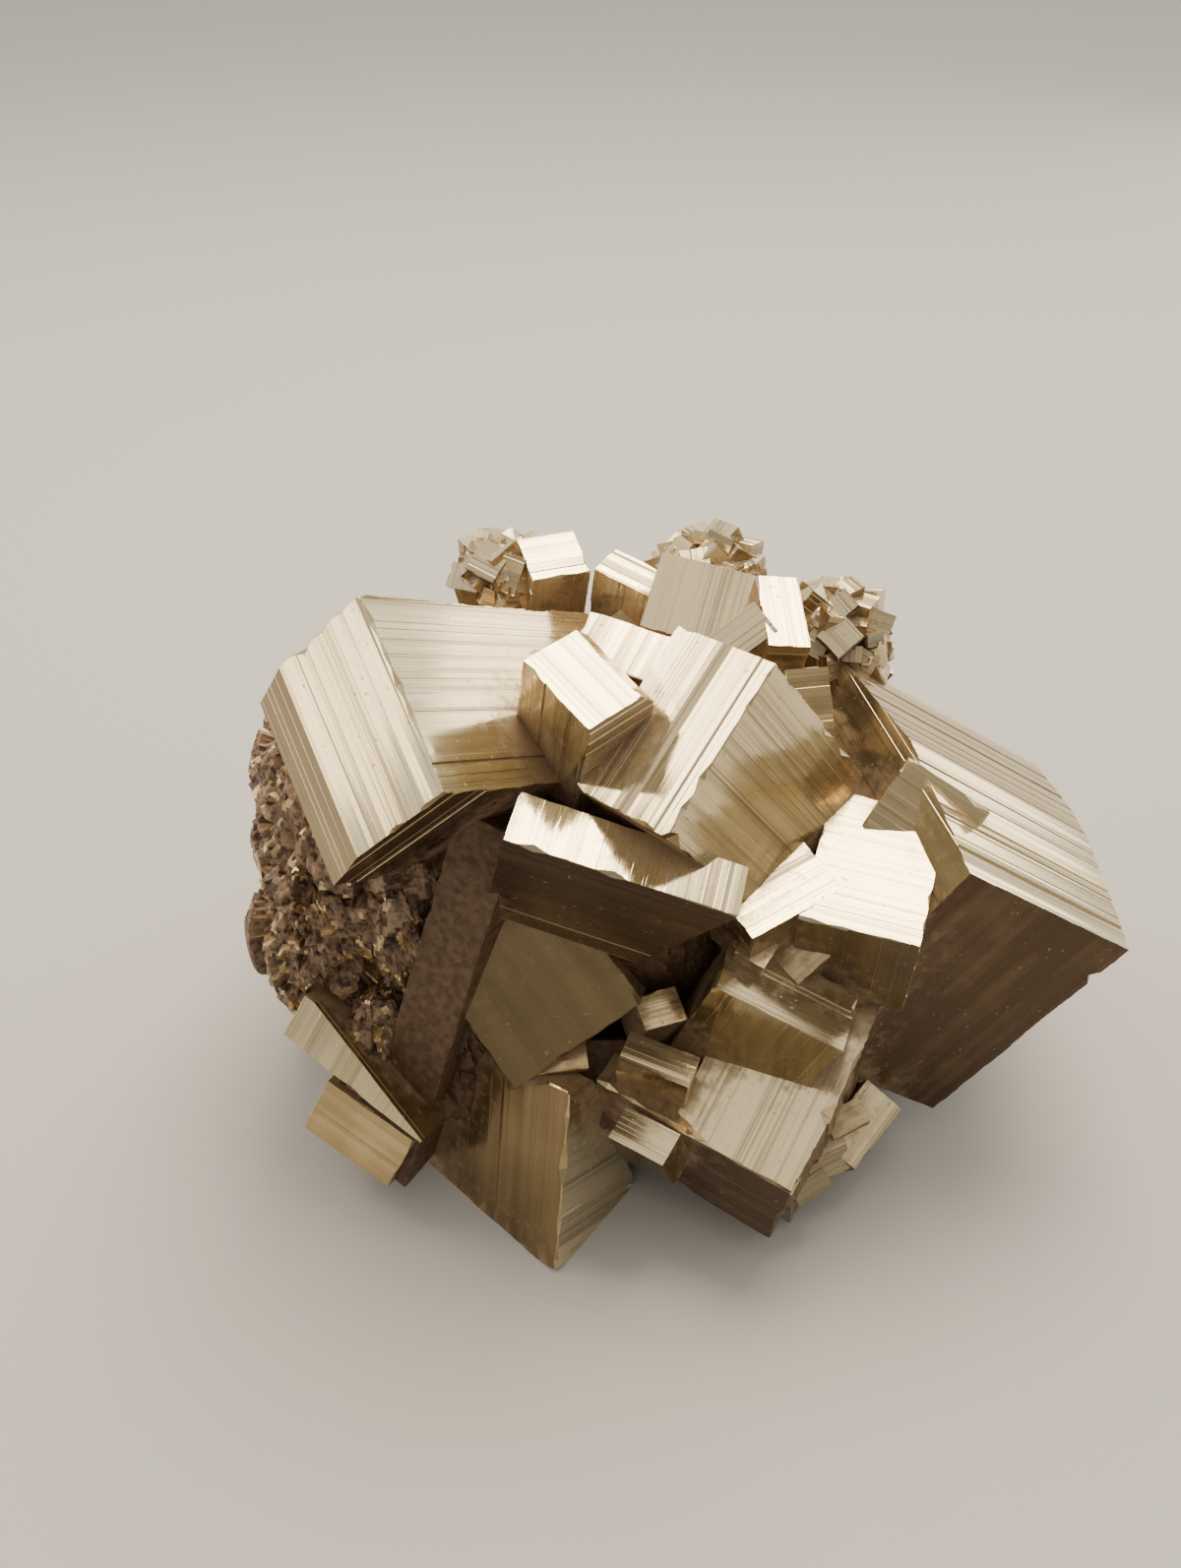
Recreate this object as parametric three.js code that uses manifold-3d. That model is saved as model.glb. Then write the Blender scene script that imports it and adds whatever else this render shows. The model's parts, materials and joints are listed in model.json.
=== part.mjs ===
// Pyrite specimen: brassy crystals grown through each other on a lump of granular pyrite.
// It formed as one piece, so it is one solid. Units are millimetres, +Z is up.
// The origin is the middle of the footprint, on the surface that the specimen stands on.
import * as THREE from 'three';
import { mergeVertices } from 'three/addons/utils/BufferGeometryUtils.js';
import Module from 'manifold-3d';

const wasm = await Module();
wasm.setup();

// Growth ledges: shallow steps on the big faces, all running one way on each face.
const LEDGE_DEPTH = 0.36;
const LEDGE_SLOPE = 0.35;
const WIDE_FACE = 15;
const MEDIUM_FACE = 9;
// Spare length that lets the three slabs of one crystal cut each other cleanly.
const OVERHANG = 3;
const BIG = 200;

// Crystals that show at the front, from the top left to the lower right.
// size is along the crystal's own x, y and z; turn is about X, then Y, then Z, in degrees.
// A cut is a flat bevel: its normal in the crystal's own axes and its distance from the centre.
const FRONT_CRYSTALS = [
  { name: 'left_block', size: [18.5, 18, 32], centre: [-19.35, -4.5, 42.4], turn: [56, 32, -61],
    cuts: [
      { normal: [0, -0.35, 0.937], distance: 15.7 },
      { normal: [0, 0.42, 0.91], distance: 17.8 },
      { normal: [0.7, 0.7, 0], distance: 12.3 },
    ] },
  { name: 'small_block', size: [9, 7.5, 14], centre: [-8.15, -10.2, 48.7], turn: [7, 17, -48],
    cuts: [{ normal: [0, 0.75, 0.66], distance: 5.9 }] },
  { name: 'centre_block', size: [17, 11, 22], centre: [4.85, -10.5, 42.4], turn: [-9, -35, 49] },
  { name: 'front_bar', size: [20.5, 14, 5], centre: [-5.55, -18.5, 36.4], turn: [-75, 15, -11],
    cuts: [{ normal: [0.925, 0.38, 0], distance: 6.8 }] },
  { name: 'right_block', size: [29, 29, 29.5], centre: [23.65, -4, 24], turn: [-2, 32, 1],
    cuts: [
      { normal: [-0.959, -0.284, 0], distance: 9 },
      { normal: [0, -0.12, 0.993], distance: 14.1 },
      { normal: [0, 0.12, 0.993], distance: 14.1 },
    ] },
  { name: 'bright_block', size: [11, 15, 12], centre: [18.85, -13.2, 30], turn: [13, 1, -19] },
  { name: 'bright_step', size: [10, 9, 9], centre: [8.95, -14.5, 31], turn: [11, -8, 30] },
  { name: 'dark_facet', size: [9, 8, 10], centre: [24.15, -6.8, 34.3], turn: [43, 21, -29] },
  { name: 'ledge', size: [13, 6.8, 13], centre: [8.75, -20.7, 21], turn: [5, 19, -19] },
  { name: 'ledge_chip', size: [3.1, 3.1, 6.2], centre: [7.65, -18.9, 27.6], turn: [15, 10, -32] },
  { name: 'ledge_step', size: [5.2, 4.2, 7.3], centre: [13.35, -17, 26.1], turn: [17, -32, 29] },
  { name: 'brown_face', size: [41, 6, 16], centre: [-19.55, -13.9, 20.1], turn: [25, -67, 41] },
  { name: 'lower_face', size: [16, 15, 14], centre: [-12.35, -13.3, 21.6], turn: [44, 39, -41] },
  { name: 'front_foot', size: [12.5, 19.5, 18], centre: [-12.95, -20.8, 5.1], turn: [77, 21, 47],
    cuts: [{ normal: [0.87, 0.5, 0], distance: 2.4 }] },
  { name: 'right_foot', size: [20, 13, 15], centre: [11.25, -20.9, 11.3], turn: [4, -21, 58] },
  { name: 'foot_bridge', size: [20.7, 9.1, 13], centre: [4.65, -23.2, 10.9], turn: [-89, 9, -30] },
  { name: 'under_block', size: [14, 14, 12], centre: [13.95, -12, 16], turn: [12, -15, 50] },
  { name: 'lit_step', size: [4.4, 3.6, 6], centre: [-1.35, -19.6, 20.2], turn: [21, 4, 22] },
  { name: 'lower_bar', size: [7, 3.2, 6.4], centre: [-1.15, -24.4, 18.4], turn: [13, 6, -22] },
  { name: 'pale_step', size: [6, 3.4, 5.4], centre: [-1.75, -28.9, 13.1], turn: [18, -5, -35] },
  { name: 'gold_step', size: [5, 4, 5], centre: [-10.25, -20.8, 16.3], turn: [27, -3, 7] },
  { name: 'gap_block', size: [9, 8, 8], centre: [-4.35, -19.8, 12], turn: [0, -53, 90] },
  { name: 'cream_grain', size: [8, 4.5, 5], centre: [19.45, -21.8, 6.1], turn: [25, -19, 47] },
  { name: 'small_grain', size: [4, 2.6, 4], centre: [18.05, -23, 8.9], turn: [24, -22, 18] },
  { name: 'brown_grain', size: [5, 4, 5], centre: [15.15, -24.6, 5.3], turn: [42, 0, 26] },
  { name: 'low_grain', size: [4, 3, 4], centre: [13.45, -28, 6.6], turn: [50, -21, 24] },
  { name: 'cream_bar', size: [17, 8, 5], centre: [-27.45, -20.8, 16.5], turn: [-29, 17, -33],
    cuts: [{ normal: [0.28, 0, 0.96], distance: 0.3 }] },
  { name: 'cream_step', size: [10.5, 6.5, 10], centre: [-28.75, -20.3, 6.8], turn: [65, 19, -28] },
];

// Crystals along the top edge, half hidden behind the front ones.
const TOP_CRYSTALS = [
  { name: 'top_left_block', size: [6.3, 6, 11], centre: [-11.75, 17.2, 45.1], turn: [16, 1, 19] },
  { name: 'top_left_step', size: [7.5, 4, 11], centre: [-3.35, 13.8, 44.7], turn: [7, 11, -30] },
  { name: 'top_block', size: [8.5, 10, 10], centre: [3.35, 10.8, 45.6], turn: [10, -32, 71] },
  { name: 'saddle_step', size: [5.5, 9, 9], centre: [-4.05, 4.3, 43.9], turn: [4, -21, 62] },
  { name: 'white_block', size: [9, 4.2, 10], centre: [10.25, 5.4, 46.3], turn: [-6, 15, -87] },
  { name: 'beige_step', size: [6.5, 4, 7], centre: [7.55, 3.6, 47], turn: [21, -30, 22] },
  { name: 'tan_wedge', size: [4.2, 6, 7], centre: [12.85, 0.4, 43.1], turn: [49, -1, 8] },
];

// Crystals of the hidden back and underside, guessed from the ones that show.
const BACK_CRYSTALS = [
  { name: 'back_left', size: [20, 20, 20], centre: [-21.35, 13, 29], turn: [30, 20, 25] },
  { name: 'back_mid', size: [22, 20, 24], centre: [2.65, 18, 27], turn: [15, 35, -20] },
  { name: 'back_right', size: [18, 20, 20], centre: [24.65, 11, 19.5], turn: [20, -25, 40] },
  { name: 'back_low_left', size: [18, 16, 16], centre: [-23.35, 7.5, 10], turn: [35, -30, 10] },
  { name: 'back_low', size: [20, 18, 16], centre: [0.65, 15.5, 8.5], turn: [-20, 15, -35] },
  { name: 'back_low_right', size: [16, 18, 16], centre: [20.65, 2.5, 9], turn: [40, 30, 15] },
  { name: 'back_top', size: [18, 13, 16], centre: [-5.85, 11, 35], turn: [40, -20, 35] },
  { name: 'left_low', size: [14, 12, 13], centre: [-30.35, -4.5, 7], turn: [25, 30, -20] },
  { name: 'left_back', size: [13, 14, 12], centre: [-30.35, 4.5, 28], turn: [-30, 15, 50] },
];

// Lumps of granular pyrite that the crystals grew on. The left one is broken open and shows.
// Studs are small crystals that stick out of a lump: their number and their edge, least to most.
// With backOnly they stay on the side that is away from the front.
const LUMPS = [
  { name: 'left_lump', centre: [-25.15, -1.5, 30], radii: [16.2, 15, 21], detail: 5,
    studs: { count: 30, edge: [2.4, 4.6], backOnly: false } },
  { name: 'middle_lump', centre: [-2.35, 2.5, 24], radii: [22, 19, 22], detail: 4,
    studs: { count: 40, edge: [4, 9], backOnly: true } },
  { name: 'right_lump', centre: [14.65, 2.5, 20], radii: [16, 14, 16], detail: 3,
    studs: { count: 36, edge: [4, 8], backOnly: true } },
  { name: 'lower_left_lump', centre: [-33.45, -10.4, 23.4], radii: [7.6, 8, 11], detail: 3 },
  { name: 'low_left_grains', centre: [-27.95, -18, 14.5], radii: [5, 5, 8], detail: 2 },
  { name: 'front_crust', centre: [-2.55, -11.5, 24], radii: [10, 6, 11], detail: 2 },
  { name: 'crevice_crust', centre: [-3.55, -11, 38], radii: [10, 5, 6], detail: 2 },
  { name: 'top_left_grains', centre: [-16.35, 18, 46.3], radii: [4.8, 4.5, 4.6], detail: 2,
    studs: { count: 11, edge: [2, 3.4], backOnly: false } },
  { name: 'top_grains', centre: [5.05, 18.5, 45.5], radii: [6, 5, 5.5], detail: 2,
    studs: { count: 10, edge: [2, 3.2], backOnly: false } },
  { name: 'top_right_grains', centre: [18.45, 14.5, 40], radii: [5.5, 6, 7.5], detail: 2,
    studs: { count: 13, edge: [2.2, 3.8], backOnly: false } },
];
const LUMP_ROUGHNESS = 0.09;
// Share of a stud's edge by which its middle lies under the lump's skin.
const STUD_SINK = 0.3;
// A lump's front, as the least y of a unit direction that still counts as its back.
const BACK_FROM = 0.05;

// Repeatable random numbers from 0 to 1.
function randomSource(seed) {
  let state = seed;
  return () => {
    state = (state * 1664525 + 1013904223) % 4294967296;
    return state / 4294967296;
  };
}

function toSolid(geometry) {
  const bare = geometry.index ? geometry.toNonIndexed() : geometry.clone();
  bare.deleteAttribute('normal');
  bare.deleteAttribute('uv');
  const merged = mergeVertices(bare, 1e-4);
  const mesh = new wasm.Mesh({
    numProp: 3,
    vertProperties: new Float32Array(merged.attributes.position.array),
    triVerts: new Uint32Array(merged.index.array),
  });
  return new wasm.Manifold(mesh);
}

// One side of a slab's section: a level line that drops and climbs by small ledges.
function ledgeLine(width, count, random) {
  const reach = width / 2 + OVERHANG;
  const line = [[-reach, 0]];
  let height = 0;
  for (let i = 0; i < count; i += 1) {
    const place = width * ((i + 0.2 + 0.6 * random()) / count - 0.5);
    const drop = LEDGE_DEPTH * (0.5 + random());
    const next = height < 0 && random() < 0.6 ? 0 : height - drop;
    line.push([place, height], [place + LEDGE_SLOPE, next]);
    height = next;
  }
  return [...line, [reach, height]];
}

// A slab with ledges on both faces: its section is carried straight along the ledges.
function ledgeSlab(length, width, thickness, random) {
  const extent = Math.min(width, length);
  const count = extent > WIDE_FACE ? 3 : extent > MEDIUM_FACE ? 2 : 0;
  const top = ledgeLine(width, count, random).map(([u, v]) => new THREE.Vector2(u, thickness / 2 + v));
  const bottom = ledgeLine(width, count, random).map(([u, v]) => new THREE.Vector2(u, -thickness / 2 - v));
  const section = new THREE.Shape([...bottom, ...top.reverse()]);
  const depth = length + 2 * OVERHANG;
  const slab = new THREE.ExtrudeGeometry(section, { depth, bevelEnabled: false });
  return slab.translate(0, 0, -depth / 2);
}

// The half space outside a bevel, as a large box that stands on the bevel's plane.
function outsideOf({ normal, distance }) {
  const direction = new THREE.Vector3(...normal).normalize();
  const box = new THREE.BoxGeometry(BIG, BIG, BIG).translate(0, 0, BIG / 2 + distance);
  const turn = new THREE.Quaternion().setFromUnitVectors(new THREE.Vector3(0, 0, 1), direction);
  return toSolid(box.applyQuaternion(turn));
}

function placement(centre, turn) {
  const angles = turn.map(THREE.MathUtils.degToRad);
  const rotation = new THREE.Quaternion().setFromEuler(new THREE.Euler(...angles, 'ZYX'));
  return new THREE.Matrix4().compose(new THREE.Vector3(...centre), rotation, new THREE.Vector3(1, 1, 1));
}

// A pyrite cube: faces across x are ledged along y, those across y along z, those across z along x.
function crystal({ size, centre, turn, cuts = [] }, random) {
  const [a, b, c] = size;
  const x = new THREE.Vector3(1, 0, 0);
  const y = new THREE.Vector3(0, 1, 0);
  const z = new THREE.Vector3(0, 0, 1);
  const across = [
    ledgeSlab(b, c, a, random).applyMatrix4(new THREE.Matrix4().makeBasis(z, x, y)),
    ledgeSlab(c, a, b, random).applyMatrix4(new THREE.Matrix4().makeBasis(x, y, z)),
    ledgeSlab(a, b, c, random).applyMatrix4(new THREE.Matrix4().makeBasis(y, z, x)),
  ];
  let solid = across.map(toSolid).reduce((sum, slab) => sum.intersect(slab));
  for (const cut of cuts) solid = solid.subtract(outsideOf(cut));
  return solid.transform(placement(centre, turn).elements);
}

// A lump: an ellipsoid whose skin rises and falls by a few sine waves and a little chance.
function lump({ centre, radii, detail }, random) {
  const ball = new THREE.IcosahedronGeometry(1, detail);
  ball.deleteAttribute('normal');
  ball.deleteAttribute('uv');
  const skin = mergeVertices(ball, 1e-4);
  const place = skin.attributes.position;
  const point = new THREE.Vector3();
  for (let i = 0; i < place.count; i += 1) {
    point.fromBufferAttribute(place, i);
    const wave = Math.sin(7 * point.x + 3 * point.y) + Math.sin(8 * point.y - 5 * point.z);
    point.multiplyScalar(1 + LUMP_ROUGHNESS * (0.4 * wave + 1.6 * (random() - 0.5)));
    place.setXYZ(i, ...point.toArray());
  }
  skin.scale(...radii);
  skin.translate(...centre);
  return toSolid(skin);
}

// Small cubes half sunk in a lump, spread evenly over it by the golden angle.
function studded({ centre, radii, studs }, random) {
  const solids = [];
  const goldenAngle = Math.PI * (3 - Math.sqrt(5));
  for (let i = 0; i < studs.count; i += 1) {
    const height = 1 - (2 * (i + 0.5)) / studs.count;
    const reach = Math.sqrt(1 - height * height);
    const angle = i * goldenAngle;
    const unit = [reach * Math.cos(angle), reach * Math.sin(angle), height];
    const edge = THREE.MathUtils.lerp(...studs.edge, random());
    const spot = unit.map((value, axis) => centre[axis] + value * (radii[axis] - STUD_SINK * edge));
    const turn = [90 * random(), 90 * random(), 90 * random()];
    const cube = new THREE.BoxGeometry(edge, edge * (0.7 + 0.3 * random()), edge);
    if (studs.backOnly && unit[1] < BACK_FROM) continue;
    solids.push(toSolid(cube.applyMatrix4(placement(spot, turn))));
  }
  return solids;
}

function specimen() {
  const random = randomSource(11);
  const listed = [...FRONT_CRYSTALS, ...TOP_CRYSTALS, ...BACK_CRYSTALS];
  const crystals = listed.map((entry) => crystal(entry, random));
  const lumps = LUMPS.map((entry) => lump(entry, random));
  const studs = LUMPS.filter((entry) => entry.studs).flatMap((entry) => studded(entry, random));
  const grown = [...crystals, ...lumps, ...studs];
  const joined = grown.reduce((sum, piece) => sum.add(piece));
  const floor = toSolid(new THREE.BoxGeometry(BIG, BIG, BIG).translate(0, 0, -BIG / 2));
  // Only the outer skin is kept, so a pocket sealed between crystals is solid mineral.
  const skins = joined.subtract(floor).decompose();
  const mesh = skins.reduce((most, skin) => (skin.volume() > most.volume() ? skin : most)).getMesh();
  const geometry = new THREE.BufferGeometry();
  geometry.setAttribute('position', new THREE.BufferAttribute(mesh.vertProperties, 3));
  geometry.setIndex(new THREE.BufferAttribute(mesh.triVerts, 1));
  geometry.computeVertexNormals();
  return geometry;
}

const pyrite = new THREE.MeshStandardMaterial({ color: '#b8a273', roughness: 0.32, metalness: 0.9 });
const cluster = new THREE.Mesh(specimen(), pyrite);
cluster.name = 'pyrite_cluster';

const group = new THREE.Group();
group.add(cluster);
export default group;
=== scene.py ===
# %% [markdown]
# # Pyrite specimen
# The specimen is one stone: brassy cubes of pyrite grown through each other on a lump of granular
# pyrite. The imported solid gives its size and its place. This lesson makes the skin that is seen:
# every cube gets its fine growth striations, the broken lump gets its grains, and all of it is
# joined to one closed mesh that stands for the plain solid.

# %% Load the fixed frame
import json
import math

import bmesh
import bpy
import numpy as np
from mathutils import Euler, Matrix, Vector

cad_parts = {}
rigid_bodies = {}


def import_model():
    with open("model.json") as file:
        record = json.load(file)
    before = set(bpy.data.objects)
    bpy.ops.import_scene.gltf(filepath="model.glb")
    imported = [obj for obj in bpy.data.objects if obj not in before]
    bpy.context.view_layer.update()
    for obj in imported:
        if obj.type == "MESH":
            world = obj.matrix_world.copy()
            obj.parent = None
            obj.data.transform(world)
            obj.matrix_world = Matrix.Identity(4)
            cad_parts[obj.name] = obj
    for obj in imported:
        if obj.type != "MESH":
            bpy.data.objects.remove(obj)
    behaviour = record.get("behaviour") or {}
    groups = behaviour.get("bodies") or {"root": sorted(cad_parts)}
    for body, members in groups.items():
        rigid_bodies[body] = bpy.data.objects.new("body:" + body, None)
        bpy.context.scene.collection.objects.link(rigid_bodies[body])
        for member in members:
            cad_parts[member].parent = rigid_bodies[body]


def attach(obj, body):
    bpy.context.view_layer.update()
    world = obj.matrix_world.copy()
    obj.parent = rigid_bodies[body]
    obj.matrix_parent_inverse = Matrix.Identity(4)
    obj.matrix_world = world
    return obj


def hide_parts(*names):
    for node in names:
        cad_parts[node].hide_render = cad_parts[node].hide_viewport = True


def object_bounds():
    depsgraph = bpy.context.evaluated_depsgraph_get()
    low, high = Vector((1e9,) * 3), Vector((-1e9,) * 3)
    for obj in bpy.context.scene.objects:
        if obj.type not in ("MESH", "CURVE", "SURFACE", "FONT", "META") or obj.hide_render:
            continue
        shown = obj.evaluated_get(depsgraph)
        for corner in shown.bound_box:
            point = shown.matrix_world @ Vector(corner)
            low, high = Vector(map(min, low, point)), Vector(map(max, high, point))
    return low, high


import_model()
cad_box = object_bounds()
MM = 0.001
print("CAD box, mm:", [[round(value / MM, 1) for value in corner] for corner in cad_box])

# %% [markdown]
# ## Camera
# A picture taken from close above has strong perspective, so the camera stands where the picture was
# taken: a short way in front, high up, tilted down. The focal length in pixels turns into a lens by
# the width of the picture.

# %% Camera
PICTURE_WIDTH_PX = 1200
FOCAL_LENGTH_PX = 1280
SENSOR_MM = 36
CAMERA_PLACE_MM = (-7.35, -97.5, 115)
CAMERA_PITCH_DEG = 40

camera_data = bpy.data.cameras.new("camera")
camera_data.sensor_fit = "HORIZONTAL"
camera_data.sensor_width = SENSOR_MM
camera_data.lens = SENSOR_MM * FOCAL_LENGTH_PX / PICTURE_WIDTH_PX
camera_data.clip_start = 0.005
camera = bpy.data.objects.new("camera", camera_data)
camera.location = [value * MM for value in CAMERA_PLACE_MM]
camera.rotation_euler = (math.radians(90 - CAMERA_PITCH_DEG), 0, 0)
bpy.context.scene.collection.objects.link(camera)
bpy.context.scene.camera = camera
print("lens, mm:", round(camera_data.lens, 1))

# %% [markdown]
# ## Striated crystal faces
# A pyrite cube grows in thin layers, and the layers' rims show as fine straight lines. The lines run
# one way on a face and turn by a right angle on the next. Bump alone would leave dead straight edges,
# so the layers are real here: one pair of faces is a slab whose section is a line of narrow treads
# and risers, carried straight along the lines. Three slabs cut each other to one cube, and the
# edges between its faces get their small teeth by themselves.

# %% Section line of one face
OVERHANG_MM = 3.0
TREAD_MM = 0.55
RISER_MM = 0.035
STEP_MM = 0.022
TREAD_SLOPE = 0.028
LEDGE_CHANCE = 0.14
LEDGE_TIMES = 3.0


def striation_line(width, tread, rough, rng):
    """Places across a face and heights there, in mm: random treads, each tipped a little, with risers.

    A tread's height is the running sum of random steps, less the straight line from the first to the
    last, so the face stays level. A few steps are several times higher and show as ledges. The highest
    point lies at zero."""
    reach = width + 2 * OVERHANG_MM
    count = max(3, int(reach / tread))
    widths = 3 * RISER_MM + rng.gamma(0.9, 1.0, count) * tread
    widths *= reach / widths.sum()
    ends = np.cumsum(widths) - reach / 2
    starts = ends - widths + np.minimum(RISER_MM, 0.3 * widths)
    ledges = np.where(rng.random(count) < LEDGE_CHANCE, LEDGE_TIMES, 1.0)
    level = np.cumsum(rng.normal(0, STEP_MM * rough, count) * ledges)
    level -= np.linspace(level[0], level[-1], count)
    tip = rng.normal(0, TREAD_SLOPE * rough, count) * ledges * widths
    across = np.stack([starts, ends], 1).ravel()
    height = np.stack([level - tip / 2, level + tip / 2], 1).ravel()
    return across, height - height.max()


sample_across, sample_height = striation_line(20, TREAD_MM, 1.0, np.random.default_rng(0))
print("a 20 mm face:", len(sample_across) // 2, "treads, relief in mm:", round(-sample_height.min(), 2))

# %% [markdown]
# ## Notes on faces
# Cutting and joining keep what is written on a mesh's faces, so each shape notes there, before it is
# cut, what the finishes will need: a map along and across the lines, a number for each growth face,
# how much more brown than usual lies on it, partly film and partly painted shade, and what it is made of.

# %% Meshes with notes
CRYSTAL, GRANULAR, CRUST = 0, 1, 2


def make_object(name, points, faces):
    mesh = bpy.data.meshes.new(name)
    mesh.from_pydata(np.asarray(points).tolist(), [], faces)
    piece = bpy.data.objects.new(name, mesh)
    bpy.context.scene.collection.objects.link(piece)
    return piece


def set_face_values(mesh, name, values):
    """Writes one number for each face, or the same one on all of them."""
    layer = mesh.attributes.new(name, "FLOAT", "FACE")
    layer.data.foreach_set("value", np.full(len(mesh.polygons), values, np.float32))


def note_faces(mesh, stripe_map, facet, added_film_and_shade, kind):
    """Notes the stripe map of all face corners, in mm, then facet, added brown film and painted shade, and
    kind for the faces.
    """
    stripe = mesh.uv_layers.new(name="stripe")
    stripe.data.foreach_set("uv", stripe_map.astype(np.float32).ravel())
    set_face_values(mesh, "facet", facet)
    set_face_values(mesh, "added_film_and_shade", added_film_and_shade)
    set_face_values(mesh, "grain", kind)


print("kinds of face:", {"crystal": CRYSTAL, "granular": GRANULAR, "crust": CRUST})

# %% [markdown]
# ## One slab
# Two opposite faces of a cube come from one slab. Its section is a closed loop, one striation line
# on top and one below, and it is carried straight from end to end, so every tread is one long quad.

# %% Slab with two striated faces
FILM_CALMS = 0.7


def striated_slab(name, axis, length, width, thickness, tread, rough, added_film_and_shade, kind, rng):
    """A slab across one axis of a crystal: a section of two striation lines, carried along its length.

    A filmed face has grown smoother, so film calms its relief."""
    calm = rough * (1 - FILM_CALMS * min(1, max(0, added_film_and_shade)))
    top_across, top_height = striation_line(width, tread, calm, rng)
    low_across, low_height = striation_line(width, tread, calm, rng)
    across = np.concatenate([top_across, low_across[::-1]])
    height = np.concatenate([thickness / 2 + top_height, -thickness / 2 - low_height[::-1]])
    count = len(across)
    half = length / 2 + OVERHANG_MM
    along = np.repeat([-half, half], count)
    places = np.zeros((2 * count, 3))
    places[:, (axis + 2) % 3] = np.tile(across, 2)
    places[:, axis] = np.tile(height, 2)
    places[:, (axis + 1) % 3] = along
    first = np.arange(count)
    after = (first + 1) % count
    sides = np.stack([first, first + count, after + count, after], 1)
    caps = np.stack([first, first[::-1] + count])
    slab = make_object(name, places, sides.tolist() + caps.tolist())
    corners = np.concatenate([sides.ravel(), caps.ravel()])
    stripe_map = np.stack([along[corners], np.tile(across, 2)[corners]], 1)
    top_facet, low_facet = rng.random(2)
    facet = np.where(first < len(top_across), top_facet, low_facet)
    note_faces(slab.data, stripe_map, np.append(facet, [0, 0]), added_film_and_shade, kind)
    return slab


print("film takes off up to", round(100 * FILM_CALMS), "% of the relief")

# %% [markdown]
# ## Cutting slabs to crystals
# Blender's Boolean modifier does the cutting. Nothing is applied on the way: each crystal is a slab
# with two modifiers that intersect it with the other two, a bevel is a further slab that is taken
# away, and one last object joins them all, so that a single evaluation makes the whole cluster.

# %% Cutting and placing
workshop = bpy.data.collections.new("workshop")
crystals = bpy.data.collections.new("crystals")


def add_boolean(piece, operation, other):
    step = piece.modifiers.new(operation.lower(), "BOOLEAN")
    step.operation = operation
    step.solver = "MANIFOLD"
    if isinstance(other, bpy.types.Collection):
        step.operand_type = "COLLECTION"
        step.collection = other
    else:
        step.object = other


def placing(centre, turn):
    """Turn about X, then Y, then Z, in degrees, then move, in millimetres."""
    angles = [math.radians(value) for value in turn]
    return Matrix.Translation(centre) @ Euler(angles, "XYZ").to_matrix().to_4x4()


print("collections:", workshop.name, crystals.name)

# %% [markdown]
# ## Bevels
# Some corners end in a further flat face, striated like its neighbours. It is the underside of a
# thick striated slab that lies outside the bevel and is taken away from the cube.

# %% Bevel slab
CUTTER_MM = 70


def bevel_slab(name, normal, distance, tread, rough, added_film_and_shade, rng):
    """A thick striated slab that lies just outside a bevel, its lines along the face's own lines."""
    normal = np.array(normal) / np.linalg.norm(normal)
    axis = int(np.argmax(np.abs(normal)))
    slab = striated_slab(name, axis, CUTTER_MM, CUTTER_MM, CUTTER_MM, tread, rough, added_film_and_shade, CRYSTAL, rng)
    along = np.eye(3)[(axis + 1) % 3]
    along -= normal * (along @ normal)
    along /= np.linalg.norm(along)
    side = np.cross(along, normal)
    frame_axes = np.zeros((3, 3))
    frame_axes[:, axis] = normal
    frame_axes[:, (axis + 1) % 3] = along
    frame_axes[:, (axis + 2) % 3] = -side
    turn = Matrix(frame_axes.tolist()).to_4x4()
    slab.data.transform(Matrix.Translation(normal * (distance + CUTTER_MM / 2)) @ turn)
    return slab


print("bevel slab, mm:", CUTTER_MM)

# %% [markdown]
# ## Worn edges
# No real crystal keeps a razor edge: handling rubs it and knocks out nicks, and the worn line catches
# the light. A Bevel modifier would wear every edge alike. So each cube is also cut by three bars of
# diamond section, one along each axis, whose sides lie a little inside the cube's edges, at a depth
# that changes along the bar.

# %% Worn bar
WEAR_MM = 0.3
STATION_MM = 1.3
NICK_CHANCE = 0.035
NICK_MM = 1.3
LEAST_WORN_MM = 3.5
FULLY_WORN_MM = 12
EDGE_FILM = 0.1


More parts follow.
